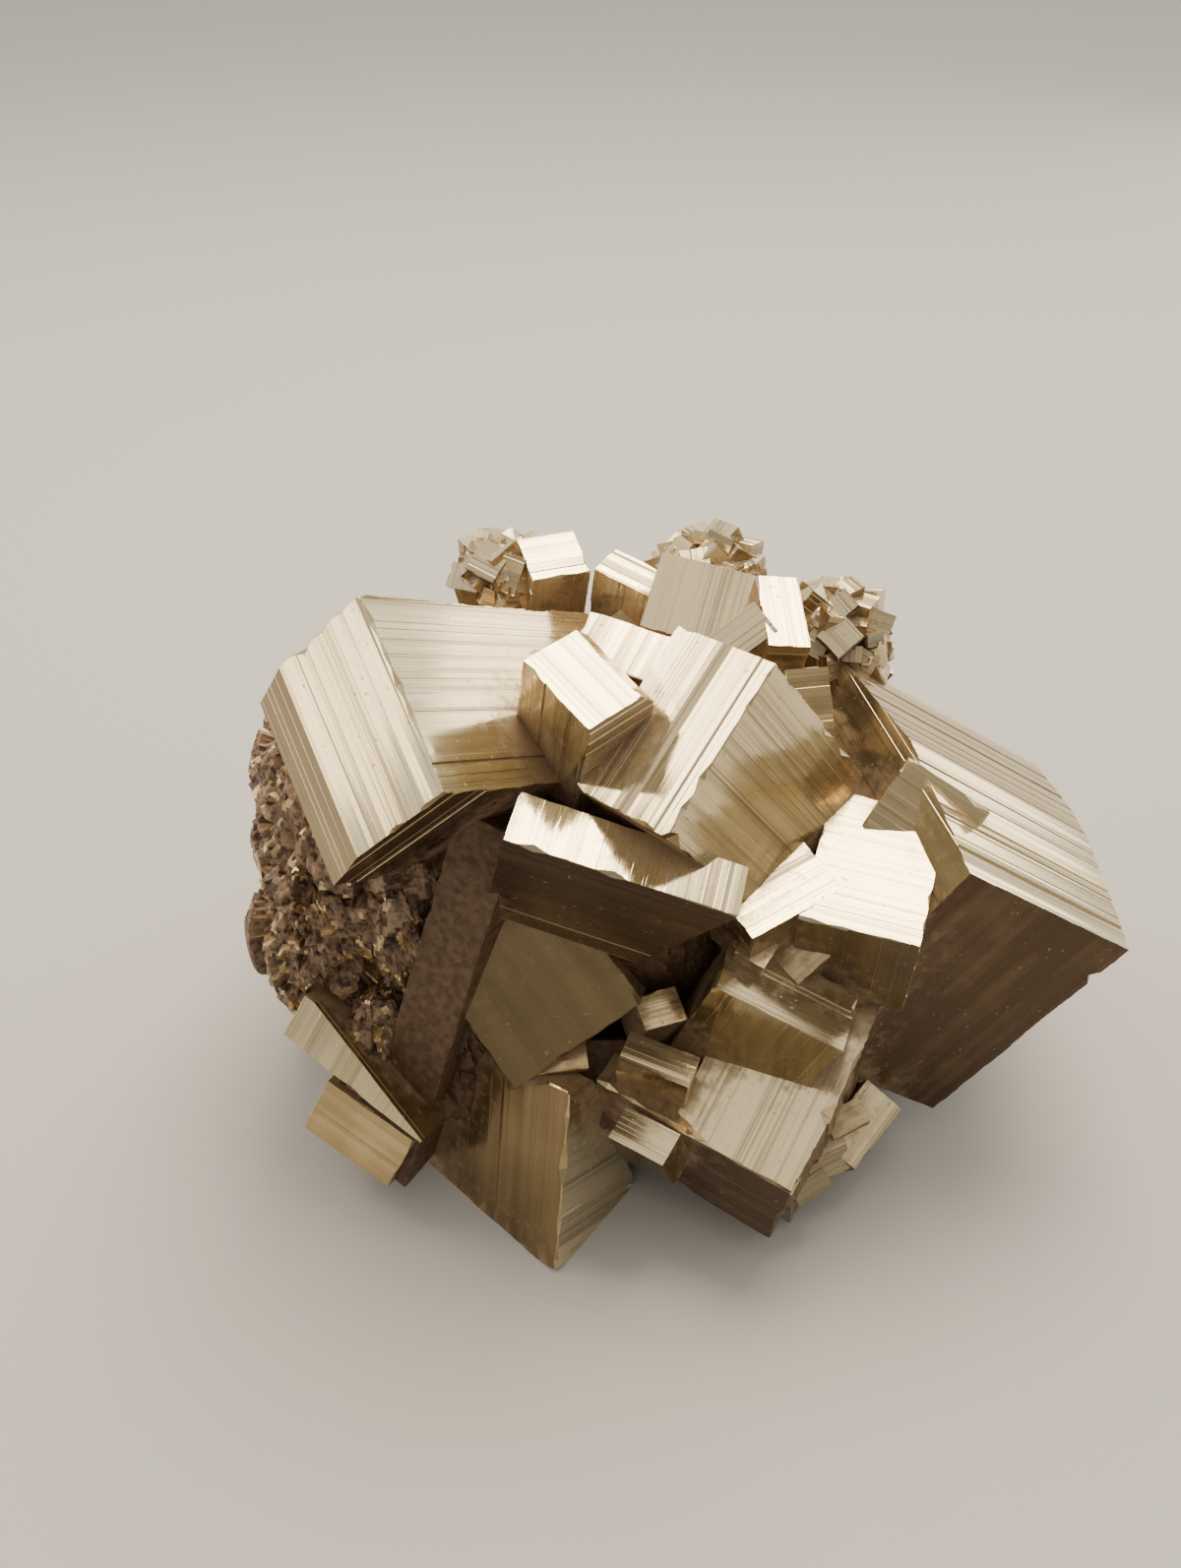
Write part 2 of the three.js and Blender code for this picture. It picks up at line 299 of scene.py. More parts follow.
def worn_bar(name, axis, size, kind, rng):
    """A bar of diamond section along one axis of a crystal; its four sides cut the four edges there.

    A side lies on the line u + v = half the width plus half the height, less the wear. The wear is a
    small random depth at each station along the bar, with a nick here and there."""
    length, width, height = size[axis], size[(axis + 1) % 3], size[(axis + 2) % 3]
    count = max(4, int((length + 2 * OVERHANG_MM) / STATION_MM))
    along = np.linspace(-0.5, 0.5, count) * (length + 2 * OVERHANG_MM)
    share = min(1, min(size) / FULLY_WORN_MM)
    wear = WEAR_MM * share
    back = wear * (0.4 + rng.gamma(1.2, 0.5, (count, 4)))
    nick = rng.random((count, 4)) < NICK_CHANCE
    back += nick * rng.random((count, 4)) * NICK_MM * share
    before = np.roll(back, 1, axis=1)
    reach = (width + height) / 2 - (back + before) / 2
    shift = (before - back) / 2
    outward = np.array([(1, 0), (0, 1), (-1, 0), (0, -1)])
    sideways = np.roll(outward, -1, axis=0)
    section = reach[..., None] * outward + shift[..., None] * sideways
    places = np.zeros((count, 4, 3))
    places[..., (axis + 1) % 3] = section[..., 0]
    places[..., (axis + 2) % 3] = section[..., 1]
    places[..., axis] = along[:, None]
    index = np.arange(4 * count).reshape(count, 4)
    turned = np.roll(index, -1, axis=1)
    quads = np.stack([index[:-1], turned[:-1], turned[1:], index[1:]], -1).reshape(-1, 4)
    faces = np.concatenate([quads, index[:1, ::-1], index[-1:]])
    places = places.reshape(-1, 3)
    bar = make_object(name, places, faces.tolist())
    stripe_map = places[faces.ravel()][:, [axis, (axis + 1) % 3]]
    note_faces(bar.data, stripe_map, rng.random(len(faces)), EDGE_FILM, kind)
    return bar


print("mean wear of a large crystal's edges, mm:", WEAR_MM)

# %% [markdown]
# ## One crystal
# A crystal is the first of its three slabs, with a Boolean modifier for each of the other two, for the
# bars that wear its edges and for its bevels. Its random numbers start from its name, so that a change
# to one crystal leaves the others as they are.

# %% Grow one crystal
def grow(name, size, centre, turn, cuts=(), added_film_and_shade=(0, 0, 0), tread=TREAD_MM,
         rough=1.0, kind=CRYSTAL, seed=0):
    """One cube of the given size in mm, with the extra brown film and painted shade of its three pairs of
    faces.

    A cut is a bevel: its normal in the crystal's own axes, its distance from the centre, its film and painted
    shade."""
    rng = np.random.default_rng([seed, *[ord(letter) for letter in name]])
    place = placing(centre, turn)
    slabs = []
    for axis in range(3):
        shape = (size[(axis + 1) % 3], size[(axis + 2) % 3], size[axis])
        slabs.append(striated_slab(f"{name}_{axis}", axis, *shape, tread, rough, added_film_and_shade[axis], kind, rng))
    tools = [("INTERSECT", slab) for slab in slabs[1:]]
    if min(size) > LEAST_WORN_MM:
        bars = [worn_bar(f"{name}_worn_{axis}", axis, size, kind, rng) for axis in range(3)]
        tools += [("INTERSECT", bar) for bar in bars]
    for number, (normal, distance, film_and_shade) in enumerate(cuts):
        bevel = bevel_slab(f"{name}_cut_{number}", normal, distance, tread, rough, film_and_shade, rng)
        tools.append(("DIFFERENCE", bevel))
    for operation, tool in tools:
        tool.data.transform(place)
        workshop.objects.link(tool)
        add_boolean(slabs[0], operation, tool)
    slabs[0].data.transform(place)
    crystals.objects.link(slabs[0])


# %% [markdown]
# ## The front crystals
# They follow the picture one by one, from the top left to the lower right. Sizes are along a crystal's
# own x, y and z; then come its centre and its turn. A larger rough gives stronger lines, and three more
# numbers add brown to the pairs of faces across x, y and z, or take some away; that brown is partly
# film and partly painted shade.

# %% Front crystals
grow("left_block", (18.5, 18, 32), (-19.35, -4.5, 42.4), (56, 32, -61),
     cuts=[((0, -0.35, 0.937), 15.7, 0.3), ((0, 0.42, 0.91), 17.8, 0), ((0.7, 0.7, 0), 12.3, 0)],
     added_film_and_shade=(0.1, 0, 0))
grow("small_block", (9, 7.5, 14), (-8.15, -10.2, 48.7), (7, 17, -48),
     cuts=[((0, 0.75, 0.66), 5.9, 0.2)], added_film_and_shade=(-0.8, -0.7, 0))
grow("centre_block", (17, 11, 22), (4.85, -10.5, 42.4), (-9, -35, 49), added_film_and_shade=(-0.45, -0.3, 0), rough=0.8)
grow("front_bar", (20.5, 14, 5), (-5.55, -18.5, 36.4), (-75, 15, -11),
     cuts=[((0.925, 0.38, 0), 6.8, 0)], added_film_and_shade=(0, 0, 0.25), rough=0.45)
grow("right_block", (29, 29, 29.5), (23.65, -4, 24), (-2, 32, 1),
     cuts=[((-0.959, -0.284, 0), 9, -0.5), ((0, -0.12, 0.993), 14.1, 0), ((0, 0.12, 0.993), 14.1, 0.3)],
     added_film_and_shade=(0, 0.62, 0), rough=1.4)
grow("bright_block", (11, 15, 12), (18.85, -13.2, 30), (13, 1, -19))
grow("bright_step", (10, 9, 9), (8.95, -14.5, 31), (11, -8, 30))
grow("dark_facet", (9, 8, 10), (24.15, -6.8, 34.3), (43, 21, -29), added_film_and_shade=(0.25, 0.25, 0.25))
grow("ledge", (13, 6.8, 13), (8.75, -20.7, 21), (5, 19, -19), added_film_and_shade=(0, -0.15, 0), rough=0.5)
grow("ledge_chip", (3.1, 3.1, 6.2), (7.65, -18.9, 27.6), (15, 10, -32))
grow("ledge_step", (5.2, 4.2, 7.3), (13.35, -17, 26.1), (17, -32, 29), added_film_and_shade=(0.1, 0.1, 0.3))
grow("brown_face", (41, 6, 16), (-19.55, -13.9, 20.1), (25, -67, 41), rough=0.4, kind=CRUST)
grow("lower_face", (16, 15, 14), (-12.35, -13.3, 21.6), (44, 39, -41), added_film_and_shade=(0.55, 0.55, 0.55), rough=0.5)
grow("front_foot", (12.5, 19.5, 18), (-12.95, -20.8, 5.1), (77, 21, 47),
     cuts=[((0.87, 0.5, 0), 2.4, 0.2)], added_film_and_shade=(0.3, 0, -0.6), rough=0.5)
grow("right_foot", (20, 13, 15), (11.25, -20.9, 11.3), (4, -21, 58), added_film_and_shade=(0, 0, -0.05), rough=1.2)
grow("foot_bridge", (20.7, 9.1, 13), (4.65, -23.2, 10.9), (-89, 9, -30), added_film_and_shade=(0.5, 0.5, 0.5), rough=0.4)
grow("under_block", (14, 14, 12), (13.95, -12, 16), (12, -15, 50), rough=0.5, kind=CRUST)
grow("lit_step", (4.4, 3.6, 6), (-1.35, -19.6, 20.2), (21, 4, 22), added_film_and_shade=(-0.2, -0.2, 0.25))
grow("lower_bar", (7, 3.2, 6.4), (-1.15, -24.4, 18.4), (13, 6, -22), added_film_and_shade=(-0.4, -0.4, 0))
grow("pale_step", (6, 3.4, 5.4), (-1.75, -28.9, 13.1), (18, -5, -35), added_film_and_shade=(0, 0, -0.2), rough=0.4)
grow("gold_step", (5, 4, 5), (-10.25, -20.8, 16.3), (27, -3, 7), added_film_and_shade=(0.3, 0.3, 0.3), rough=0.5)
grow("gap_block", (9, 8, 8), (-4.35, -19.8, 12), (0, -53, 90), rough=0.5, kind=CRUST)
grow("cream_grain", (8, 4.5, 5), (19.45, -21.8, 6.1), (25, -19, 47))
grow("small_grain", (4, 2.6, 4), (18.05, -23, 8.9), (24, -22, 18))
grow("brown_grain", (5, 4, 5), (15.15, -24.6, 5.3), (42, 0, 26))
grow("low_grain", (4, 3, 4), (13.45, -28, 6.6), (50, -21, 24))
grow("cream_bar", (17, 8, 5), (-27.45, -20.8, 16.5), (-29, 17, -33),
     cuts=[((0.28, 0, 0.96), 0.3, 0.45)], added_film_and_shade=(0.2, 0, 0.2), rough=0.4)
grow("cream_step", (10.5, 6.5, 10), (-28.75, -20.3, 6.8), (65, 19, -28), added_film_and_shade=(0.3, 0.3, 0.22), rough=0.7)

# %% [markdown]
# ## The top and back crystals
# The small ones along the top edge are half hidden by the front ones. A cluster like this has crystals
# all round, so those of the back are guessed from the ones that show.

# %% Top and back crystals
grow("top_left_block", (6.3, 6, 11), (-11.75, 17.2, 45.1), (16, 1, 19), added_film_and_shade=(-0.5, -0.7, 0))
grow("top_left_step", (7.5, 4, 11), (-3.35, 13.8, 44.7), (7, 11, -30), added_film_and_shade=(0, -0.6, 0))
grow("top_block", (8.5, 10, 10), (3.35, 10.8, 45.6), (10, -32, 71))
grow("saddle_step", (5.5, 9, 9), (-4.05, 4.3, 43.9), (4, -21, 62), rough=0.5)
grow("white_block", (9, 4.2, 10), (10.25, 5.4, 46.3), (-6, 15, -87))
grow("beige_step", (6.5, 4, 7), (7.55, 3.6, 47), (21, -30, 22))
grow("tan_wedge", (4.2, 6, 7), (12.85, 0.4, 43.1), (49, -1, 8), added_film_and_shade=(0.45, 0.45, 0.45))
grow("back_left", (20, 20, 20), (-21.35, 13, 29), (30, 20, 25))
grow("back_mid", (22, 20, 24), (2.65, 18, 27), (15, 35, -20))
grow("back_right", (18, 20, 20), (24.65, 11, 19.5), (20, -25, 40))
grow("back_low_left", (18, 16, 16), (-23.35, 7.5, 10), (35, -30, 10))
grow("back_low", (20, 18, 16), (0.65, 15.5, 8.5), (-20, 15, -35))
grow("back_low_right", (16, 18, 16), (20.65, 2.5, 9), (40, 30, 15))
grow("back_top", (18, 13, 16), (-5.85, 11, 35), (40, -20, 35))
grow("left_low", (14, 12, 13), (-30.35, -4.5, 7), (25, 30, -20))
grow("left_back", (13, 14, 12), (-30.35, 4.5, 28), (-30, 15, 50))

# %% [markdown]
# ## The granular lump
# Between the cubes, and bare on the left where the stone was broken, pyrite is a mass of grains.
# Each grain breaks on a plane of its own. So the skin is an ellipsoid on a grid of latitude and
# longitude, cut into cells around random seeds, and in each cell the surface is tipped by that
# cell's own slope. Two sizes of cell, laid over each other, give coarse and fine breaks.

# %% Lumps: centre, radii, kind, grid spacing and number of studs
LUMPS = [
    ("left_lump", (-25.15, -1.5, 30), (16.2, 15, 21), GRANULAR, 0.36, 0),
    ("middle_lump", (-2.35, 2.5, 24), (22, 19, 22), CRUST, 0.8, 40),
    ("right_lump", (14.65, 2.5, 20), (16, 14, 16), CRUST, 0.8, 36),
    ("lower_left_lump", (-33.45, -10.4, 23.4), (7.6, 8, 11), GRANULAR, 0.36, 0),
    ("low_left_grains", (-27.95, -18, 14.5), (5, 5, 8), GRANULAR, 0.36, 0),
    ("front_crust", (-2.55, -11.5, 24), (10, 6, 11), CRUST, 0.4, 0),
    ("crevice_crust", (-3.55, -11, 38), (10, 5, 6), CRUST, 0.4, 0),
    ("top_left_grains", (-16.35, 18, 46.3), (4.8, 4.5, 4.6), CRYSTAL, 0.5, 56),
    ("top_grains", (5.05, 18.5, 45.5), (6, 5, 5.5), CRYSTAL, 0.5, 56),
    ("top_right_grains", (18.45, 14.5, 40), (5.5, 6, 7.5), CRYSTAL, 0.5, 70),
    ("flank_grains", (-25, -14.4, 26.5), (4, 4.4, 8), GRANULAR, 0.36, 0),
    ("upper_joint", (-19.6, -18.3, 15.5), (3, 3, 5), CRUST, 0.36, 0),
    ("lower_joint", (-20.4, -20, 10), (3, 3, 4.5), CRUST, 0.36, 0),
]
print("lumps:", len(LUMPS))

# %% [markdown]
# ## Grains
# A direction belongs to the seed that it makes the smallest angle with, which is the largest dot
# product, so one product of two arrays sorts all directions into cells.

# %% Grain relief
COARSE_GRAIN_MM = 3.2
FINE_GRAIN_MM = 0.8
COARSE_SLOPE = 0.25
FINE_SLOPE = 0.3
LEVEL_SHARE = 0.16


def unit_directions(count, rng):
    """Random directions, evenly spread: normal numbers on three axes, divided by their length."""
    vectors = rng.normal(size=(count, 3))
    return vectors / np.linalg.norm(vectors, axis=1, keepdims=True)


def grain_relief(directions, radii, grain, slope, rng):
    """Height in mm on an ellipsoid: each direction takes the tipped plane of its nearest grain."""
    mean = np.mean(radii)
    count = int(4 * math.pi * mean**2 / grain**2)
    seeds = unit_directions(count, rng)
    nearest = np.argmax(directions @ seeds.T, axis=1)
    tilt = rng.normal(0, slope, (count, 3))
    level = rng.normal(0, LEVEL_SHARE * grain, count)
    height = ((directions - seeds[nearest]) * mean * tilt[nearest]).sum(1) + level[nearest]
    return height, rng.random(count)[nearest]


print("grains, mm:", COARSE_GRAIN_MM, FINE_GRAIN_MM)

# %% [markdown]
# ## A lump's skin
# A sphere of icosahedron faces would be more even, but a grid of angles is one formula, and under the
# grains its rows do not show. The crust is smoother than the broken grains, so its relief is calmed.

# %% Lump skin
CRUST_CALM = 0.35
DEEPEST_MM, HIGHEST_MM = -1.5, 1.0
SUNK_MM = 0.6


def lump(name, centre, radii, kind, spacing, rng):
    """An ellipsoid on a grid of polar and around angles: direction times radii plus relief, then moved.

    Rows of quads go round it, and a fan of triangles closes each pole."""
    rows = int(math.pi * np.mean(radii) / spacing)
    columns = 2 * rows
    polar = np.pi * np.arange(1, rows) / rows
    around = 2 * np.pi * np.arange(columns) / columns
    polar, around = np.meshgrid(polar, around, indexing="ij")
    ring = np.stack([np.sin(polar) * np.cos(around), np.sin(polar) * np.sin(around), np.cos(polar)], -1)
    directions = np.concatenate([ring.reshape(-1, 3), [[0, 0, 1], [0, 0, -1]]])
    calm = CRUST_CALM if kind == CRUST else 1.0
    coarse, _ = grain_relief(directions, radii, COARSE_GRAIN_MM, COARSE_SLOPE, rng)
    fine, shade = grain_relief(directions, radii, FINE_GRAIN_MM, FINE_SLOPE, rng)
    relief = calm * np.clip(coarse + fine, DEEPEST_MM, HIGHEST_MM)
    places = directions * (np.array(radii) - SUNK_MM + relief[:, None]) + np.array(centre)
    index = np.arange((rows - 1) * columns).reshape(rows - 1, columns)
    right = np.roll(index, -1, axis=1)
    quads = np.stack([index[:-1], index[1:], right[1:], right[:-1]], -1).reshape(-1, 4)
    top = np.full(columns, len(places) - 2)
    bottom = top + 1
    fans = np.concatenate([
        np.stack([top, index[0], right[0]], 1),
        np.stack([bottom, right[-1], index[-1]], 1),
    ])
    skin = make_object(name, places, quads.tolist() + fans.tolist())
    corners = np.concatenate([quads.ravel(), fans.ravel()])
    facet = shade[np.concatenate([quads[:, 1], fans[:, 1]])]
    note_faces(skin.data, places[corners][:, :2], facet, 0.0, kind)
    return skin


print("relief of a granular lump, mm:", DEEPEST_MM, "to", HIGHEST_MM)

# %% [markdown]
# ## Studs
# Small cubes sit half sunk all over the clusters along the top edge, and on the back of the hidden
# lumps. Steps of the golden angle round a lump, with even steps of height, spread them evenly.

# %% Lumps and their studs
STUD_TREAD_MM = 0.5
STUD_SINK = 0.35
# Least and most edge in mm, and the least y of a direction that still bears a stud.
CRUST_STUDS = (4, 8.5, 0.05)
TOP_STUDS = (1.8, 4.0, -1.0)


def stud_lump(name, centre, radii, kind, count, rng):
    """Small cubes half sunk in a lump, spread evenly over it by the golden angle."""
    golden_angle = math.pi * (3 - math.sqrt(5))
    least, most, back_from = CRUST_STUDS if kind == CRUST else TOP_STUDS
    for number in range(count):
        height = 1 - (2 * number + 1) / count
        reach = math.sqrt(1 - height**2)
        angle = number * golden_angle
        direction = np.array([reach * math.cos(angle), reach * math.sin(angle), height])
        edge = least + (most - least) * rng.random()
        turn = 90 * rng.random(3)
        size = (edge, edge * (0.7 + 0.3 * rng.random()), edge)
        if direction[1] > back_from:
            spot = np.array(centre) + direction * (np.array(radii) - STUD_SINK * edge)
            grow(f"{name}_stud_{number}", size, spot, turn, tread=STUD_TREAD_MM, seed=number)


FIRST_SEED = 40
lumps = []
for number, (name, centre, radii, kind, spacing, count) in enumerate(LUMPS):
    lump_rng = np.random.default_rng(FIRST_SEED + number)
    lumps.append(lump(name, centre, radii, kind, spacing, lump_rng))
    stud_lump(name, centre, radii, kind, count, lump_rng)

# %% [markdown]
# ## Joining all of it
# The lumps and crystals become one skin, and what would reach below the shelf is cut off flat. A
# union can leave closed bubbles inside, where crystals meet around a gap. They would be stray faces
# in the stone, so only the largest connected skin is kept in the end.

# %% Union of all, cut off flat at the shelf
BIG_MM = 400
SQUARE = [(-1, -1), (1, -1), (1, 1), (-1, 1)]
BOX_FACES = [(3, 2, 1, 0), (4, 5, 6, 7), (0, 1, 5, 4), (1, 2, 6, 5), (2, 3, 7, 6), (3, 0, 4, 7)]

box_corners = [(x, y, z) for z in (-1, 0) for x, y in SQUARE]
shelf = make_object("shelf_cut", np.array(box_corners) * BIG_MM, BOX_FACES)
workshop.objects.link(shelf)
for skin in lumps[1:]:
    crystals.objects.link(skin)
add_boolean(lumps[0], "UNION", crystals)
add_boolean(lumps[0], "DIFFERENCE", shelf)
graph = bpy.context.evaluated_depsgraph_get()
result = bpy.data.meshes.new_from_object(lumps[0].evaluated_get(graph))
print("joined vertices:", len(result.vertices))

# %% [markdown]
# ## One skin
# The bubbles share no edge with the outer skin. Labels that spread along edges tell them apart.

# %% Keep the largest skin
def largest_skin(mesh):
    """Labels each vertex by the lowest one that edges connect it to; true where the commonest label is.

    Each round hands the lower label of an edge to both its ends, until no label changes."""
    ends = np.zeros(2 * len(mesh.edges), np.int32)
    mesh.edges.foreach_get("vertices", ends)
    one, two = ends.reshape(-1, 2).T
    label = np.arange(len(mesh.vertices))
    while True:
        low = np.minimum(label[one], label[two])
        fresh = label.copy()
        np.minimum.at(fresh, one, low)
        np.minimum.at(fresh, two, low)
        fresh = fresh[fresh]
        if np.array_equal(fresh, label):
            return label == np.bincount(label).argmax()
        label = fresh


keep = largest_skin(result)
shape = bmesh.new()
shape.from_mesh(result)
spare = np.array(shape.verts[:], object)[~keep]
bmesh.ops.delete(shape, geom=spare.tolist(), context="VERTS")
shape.to_mesh(result)
shape.free()
print("kept vertices:", int(keep.sum()))

# %% [markdown]
# ## The finished piece
# So far everything was in millimetres. The skin is scaled to metres, held inside the solid's box, and
# takes the place of the plain solid.

# %% Scale, hold inside the box, replace the solid
result.transform(Matrix.Scale(MM, 4))
points = np.zeros(3 * len(result.vertices), np.float32)
result.vertices.foreach_get("co", points)
inside = np.clip(points.reshape(-1, 3), np.array(cad_box[0]), np.array(cad_box[1]))
result.vertices.foreach_set("co", inside.astype(np.float32).ravel())
result.update()
for piece in [*workshop.objects, *crystals.objects, lumps[0]]:
    bpy.data.objects.remove(piece)
skin_object = bpy.data.objects.new("pyrite_skin", result)
bpy.context.scene.collection.objects.link(skin_object)
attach(skin_object, "root")
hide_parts("pyrite_cluster")
corner_count = len(result.loops)
print("faces:", len(result.polygons), "triangles:", corner_count - 2 * len(result.polygons))

# %% [markdown]
# ## Brown film and painted shade
# Clean pyrite is pale brass. A brown value on each face stands partly for a thin film of weathering
# and partly for painted shade: faces that look down are made browner, as shade would make them, and
# the lower part of the stone is browner too, darker towards the bottom. It is worked out for each face
# from how far it looks up and how high it stands, with a little chance from face to face and the added
# film and shade of each crystal, and kept as an attribute for the material.

# %% Film and painted shade on each face
LEVEL_SHADE = 0.55
SHADE_BY_TILT = 1.1
MOST_SHADE = 0.95
LOW_BROWN = 0.3
LOW_MM = 30
FILM_CHANCE = 0.2


def face_values(mesh, name):
    values = np.zeros(len(mesh.polygons), np.float32)
    mesh.attributes[name].data.foreach_get("value", values)
    return values


normals = np.zeros(3 * len(result.polygons), np.float32)
result.polygon_normals.foreach_get("vector", normals)
centres = np.zeros(3 * len(result.polygons), np.float32)
result.polygons.foreach_get("center", centres)
upward = normals.reshape(-1, 3)[:, 2]
height_mm = centres.reshape(-1, 3)[:, 2] / MM
facet = face_values(result, "facet")
# Painted shade: a face that looks down gets more brown, up to a limit.
film_and_shade = np.clip(LEVEL_SHADE - SHADE_BY_TILT * upward, 0, MOST_SHADE)
# Faces lower on the stone get more brown: darker towards the bottom.
film_and_shade += LOW_BROWN * np.clip(1 - height_mm / LOW_MM, 0, 1)
film_and_shade += FILM_CHANCE * (facet - 0.5) + face_values(result, "added_film_and_shade")
film_and_shade = np.clip(film_and_shade, 0, 1)
set_face_values(result, "film_and_shade", film_and_shade)
print("mean film:", round(float(film_and_shade.mean()), 2))

# %% [markdown]
# ## Colours and nodes
# Colours are picked as hex values on a screen, and shaders count light in linear values, so one
# function turns the first into the second. Another adds a node with its settings and links.

# %% Colours and nodes
def linear(code):
    """sRGB hex to the linear values that shaders use."""
    parts = [int(code[place:place + 2], 16) / 255 for place in (1, 3, 5)]
    return tuple(v / 12.92 if v <= 0.04045 else ((v + 0.055) / 1.055) ** 2.4 for v in parts) + (1.0,)


def add_node(tree, kind, links=None, **settings):
    """Adds one node: links fill its inputs by name or number, from a socket or a plain value."""
    made = tree.nodes.new(kind)
    for key, value in settings.items():
        setattr(made, key, value)
    for key, value in (links or {}).items():
        if isinstance(value, bpy.types.NodeSocket):
            tree.links.new(value, made.inputs[key])
        else:
            made.inputs[key].default_value = value
    return made


def new_material(name):
    material = bpy.data.materials.new(name)
    material.use_nodes = True
    tree = material.node_tree
    shader = tree.nodes["Principled BSDF"]
    return material, tree, shader


print("mid grey in linear light:", round(linear("#808080")[0], 3))

# %% [markdown]
# ## Pyrite crystal face
# Pyrite is an iron sulphide with a metallic shine, so its colour is its reflection: pale brass. The
# faces are natural growth surfaces, nearly mirrors. The eye sees three things on them: grey lines in
# groups along the striations, a brown that goes from golden to dark, partly film and partly painted
# shade on faces that look down, and pale dust in the crevices, with specks of it elsewhere. The brown
# and the dust are not metal, so they dull the shine and blur it. The lines use the stripe map, which
# follows each face, and the rest uses Object coordinates.

# %% Pyrite crystal face
CLEAN_BRASS = "#e9dbb6"
GREY_BRASS = "#9d9480"
# Golden and brown are film, and also painted shade on faces that look down.
GOLDEN_FILM_AND_SHADE = "#b09a70"
BROWN_FILM_AND_SHADE = "#4d3a29"
DUST = "#a48b72"
# Lines per millimetre along the striations, where they hardly change, and across them: bands some 2 mm
# wide, groups of 0.5 mm and lines of 0.15 mm. Real lines go finer, too fine to show in the picture.
BAND_PER_MM = (0.012, 0.45, 1.0)
GROUP_PER_MM = (0.012, 1.9, 1.0)
LINE_PER_MM = (0.02, 6.5, 1.0)
CREVICE_MM = 5.0
DUST_PATCH_MM = 1.2
BLOTCH_MM = 7.0
SPECK_MM = 0.45
LINE_MM = 0.03


